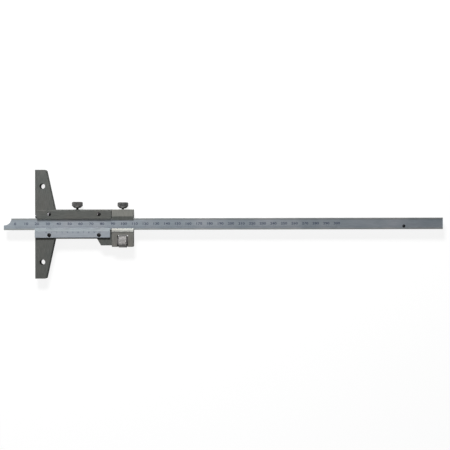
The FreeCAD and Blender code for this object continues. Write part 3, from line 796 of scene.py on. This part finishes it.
def write(name, words, placing_of, height, wideness, boldness, thickness=0.03 * MM):
    """Write short texts as one mesh; placing_of gives the place of each text by its order."""
    FONT_DIGIT_HEIGHT = 0.70
    joined_points, joined_faces = [], []
    for order, word in enumerate(words):
        curve = bpy.data.curves.new("text", "FONT")
        curve.body = word
        curve.size = height / FONT_DIGIT_HEIGHT
        curve.align_x = "CENTER"
        curve.align_y = "CENTER"
        curve.extrude = thickness / 2
        curve.offset = boldness
        curve.resolution_u = 3
        text = bpy.data.objects.new("text", curve)
        scene.collection.objects.link(text)
        letters = bpy.data.meshes.new_from_object(text.evaluated_get(bpy.context.evaluated_depsgraph_get()))
        bpy.data.objects.remove(text)
        bpy.data.curves.remove(curve)
        letters.transform(placing_of(order) @ Matrix.Diagonal((wideness, 1, 1, 1)))
        start = len(joined_points)
        joined_points += [tuple(point.co) for point in letters.vertices]
        joined_faces += [tuple(start + corner for corner in face.vertices) for face in letters.polygons]
        bpy.data.meshes.remove(letters)
    mesh = bpy.data.meshes.new(name)
    mesh.from_pydata(joined_points, [], joined_faces)
    mesh.materials.append(enamel)
    piece = bpy.data.objects.new(name, mesh)
    scene.collection.objects.link(piece)
    return piece


NUMBER_HEIGHT = 2.2 * MM
NUMBER_MIDDLE = 0.2 * MM
main_numbers = write(
    "main_scale_numbers",
    [str(10 * tens) for tens in range(31)],
    lambda tens: Matrix.Translation((SCALE_ZERO + 10 * tens * MM, NUMBER_MIDDLE, SCALE_FACE)),
    NUMBER_HEIGHT,
    wideness=1.3,
    boldness=0.06 * MM,
)
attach(main_numbers, "beam")
print("numbers:", len(main_numbers.data.polygons), "faces")

# %% [markdown]
# The vernier has fifty divisions in forty-nine millimetres, so one of its lines always meets a
# line of the beam and gives the fiftieths. Its lines start on the plate's thin edge beside the
# beam and run down the slope of its bevel, so the same tree is turned end for end and tilted to
# lie on that slope. Fifty divisions look the same from either end.

# %% Rule and number the vernier
vernier_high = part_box("vernier_plate")[1]
SLOPE_DROP = 1.0 * MM
slope = math.atan2(SLOPE_DROP, VERNIER_BEVEL)
VERNIER_ZERO = 10.55 * MM
DIVISIONS = 50
VERNIER_PITCH = 49 * MM / DIVISIONS
slope_foot = Vector((VERNIER_ZERO, vernier_high[1] - VERNIER_BEVEL, vernier_high[2]))
on_slope = Matrix.Translation(slope_foot) @ Matrix.Rotation(-slope, 4, "X")
slope_length = math.hypot(VERNIER_BEVEL, SLOPE_DROP)
far_corner = Matrix.Translation((DIVISIONS * VERNIER_PITCH, slope_length, 0))
end_for_end = far_corner @ Matrix.Rotation(math.pi, 4, "Z")

vernier_lines = grow(
    "vernier_lines",
    ruler,
    {
        **LINE_SIZES,
        "Count": DIVISIONS + 1,
        "Pitch": VERNIER_PITCH,
        "Short Line": 1.7 * MM,
        "Middle Line": 2.2 * MM,
        "Long Line": 2.2 * MM,
    },
    on_slope @ end_for_end,
)
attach(vernier_lines, "slider")

VERNIER_NUMBER_HEIGHT = 1.5 * MM
VERNIER_NUMBER_DROP = 1.1 * MM
vernier_numbers = write(
    "vernier_numbers",
    [str(tenth) for tenth in range(11)],
    lambda tenth: Matrix.Translation(slope_foot)
    @ Matrix.Translation((5 * tenth * VERNIER_PITCH, -VERNIER_NUMBER_DROP, 0)),
    VERNIER_NUMBER_HEIGHT,
    wideness=1.1,
    boldness=0.0,
)
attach(vernier_numbers, "slider")
print("vernier:", DIVISIONS, "divisions of", round(VERNIER_PITCH / MM, 3), "mm")

# %% [markdown]
# The feed screw shows in the gap beside the carriage and in the nut's window. Its solid is a
# plain rod. Here a tree grows the real thread: a fine tube whose surface moves in and out by a
# triangle wave that climbs one pitch each turn.

# %% Cut the feed screw's thread
threader = bpy.data.node_groups.new("threaded_rod", "GeometryNodeTree")
threader.interface.new_socket("Rod", in_out="OUTPUT", socket_type="NodeSocketGeometry")
for label, kind in (
    ("Length", "NodeSocketFloat"),
    ("Radius", "NodeSocketFloat"),
    ("Pitch", "NodeSocketFloat"),
    ("Thread Depth", "NodeSocketFloat"),
    ("Rings", "NodeSocketInt"),
    ("Steel", "NodeSocketMaterial"),
):
    threader.interface.new_socket(label, in_out="INPUT", socket_type=kind)
sizes = threader.nodes.new("NodeGroupInput").outputs
far_end = add_node(threader, "ShaderNodeCombineXYZ", {"Z": sizes["Length"]})
axis_line = add_node(threader, "GeometryNodeCurvePrimitiveLine", {"End": far_end.outputs["Vector"]})
ringed = add_node(
    threader, "GeometryNodeResampleCurve", {"Curve": axis_line.outputs["Curve"], "Count": sizes["Rings"]}
)
ring = add_node(threader, "GeometryNodeCurvePrimitiveCircle", {"Resolution": 24, "Radius": sizes["Radius"]})
tube = add_node(
    threader,
    "GeometryNodeCurveToMesh",
    {"Curve": ringed.outputs["Curve"], "Profile Curve": ring.outputs["Curve"], "Fill Caps": True},
)
where = add_node(threader, "GeometryNodeInputPosition").outputs["Position"]
flat = add_node(threader, "ShaderNodeSeparateXYZ", {"Vector": where})
turn = add_node(
    threader, "ShaderNodeMath", {0: flat.outputs["Y"], 1: flat.outputs["X"]}, operation="ARCTAN2"
)
turns = add_node(threader, "ShaderNodeMath", {0: turn.outputs["Value"], 1: math.tau}, operation="DIVIDE")
climb = add_node(
    threader, "ShaderNodeMath", {0: flat.outputs["Z"], 1: sizes["Pitch"]}, operation="DIVIDE"
)
phase = add_node(
    threader, "ShaderNodeMath", {0: climb.outputs["Value"], 1: turns.outputs["Value"]}, operation="SUBTRACT"
)
wave = add_node(threader, "ShaderNodeMath", {0: phase.outputs["Value"], 1: 0.5}, operation="PINGPONG")
deep = add_node(
    threader, "ShaderNodeMath", {0: wave.outputs["Value"], 1: sizes["Thread Depth"]}, operation="MULTIPLY"
)
share = add_node(
    threader, "ShaderNodeMath", {0: deep.outputs["Value"], 1: sizes["Radius"]}, operation="DIVIDE"
)
shrink = add_node(threader, "ShaderNodeMath", {0: 1.0, 1: share.outputs["Value"]}, operation="SUBTRACT")
narrow = add_node(
    threader,
    "ShaderNodeCombineXYZ",
    {"X": shrink.outputs["Value"], "Y": shrink.outputs["Value"], "Z": 1.0},
)
moved = add_node(
    threader, "ShaderNodeVectorMath", {0: where, 1: narrow.outputs["Vector"]}, operation="MULTIPLY"
)
cut = add_node(
    threader,
    "GeometryNodeSetPosition",
    {"Geometry": tube.outputs["Mesh"], "Position": moved.outputs["Vector"]},
)
whole = add_node(threader, "GeometryNodeRealizeInstances", {"Geometry": cut.outputs["Geometry"]})
finished = add_node(
    threader, "GeometryNodeSetMaterial", {"Geometry": whole.outputs["Geometry"], "Material": sizes["Steel"]}
)
add_node(threader, "NodeGroupOutput", {"Rod": finished.outputs["Geometry"]})

rod_low, rod_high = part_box("feed_screw")
rod_length = rod_high[0] - rod_low[0]
FEED_PITCH = 0.5 * MM
STEPS_PER_TURN = 8
THREAD_DEPTH = 0.6 * MM
rod_axis = Vector((rod_low[0], (rod_low[1] + rod_high[1]) / 2, (rod_low[2] + rod_high[2]) / 2))
thread = grow(
    "feed_thread",
    threader,
    {
        "Length": rod_length,
        "Radius": (rod_high[1] - rod_low[1]) / 2,
        "Pitch": FEED_PITCH,
        "Thread Depth": THREAD_DEPTH,
        "Rings": int(rod_length / FEED_PITCH * STEPS_PER_TURN),
        "Steel": finishes["screw_steel"],
    },
    Matrix.Translation(rod_axis) @ Euler((0, math.radians(90), 0)).to_matrix().to_4x4(),
)
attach(thread, "slider")
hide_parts("feed_screw")
print("thread:", len(thread.data.polygons), "faces")
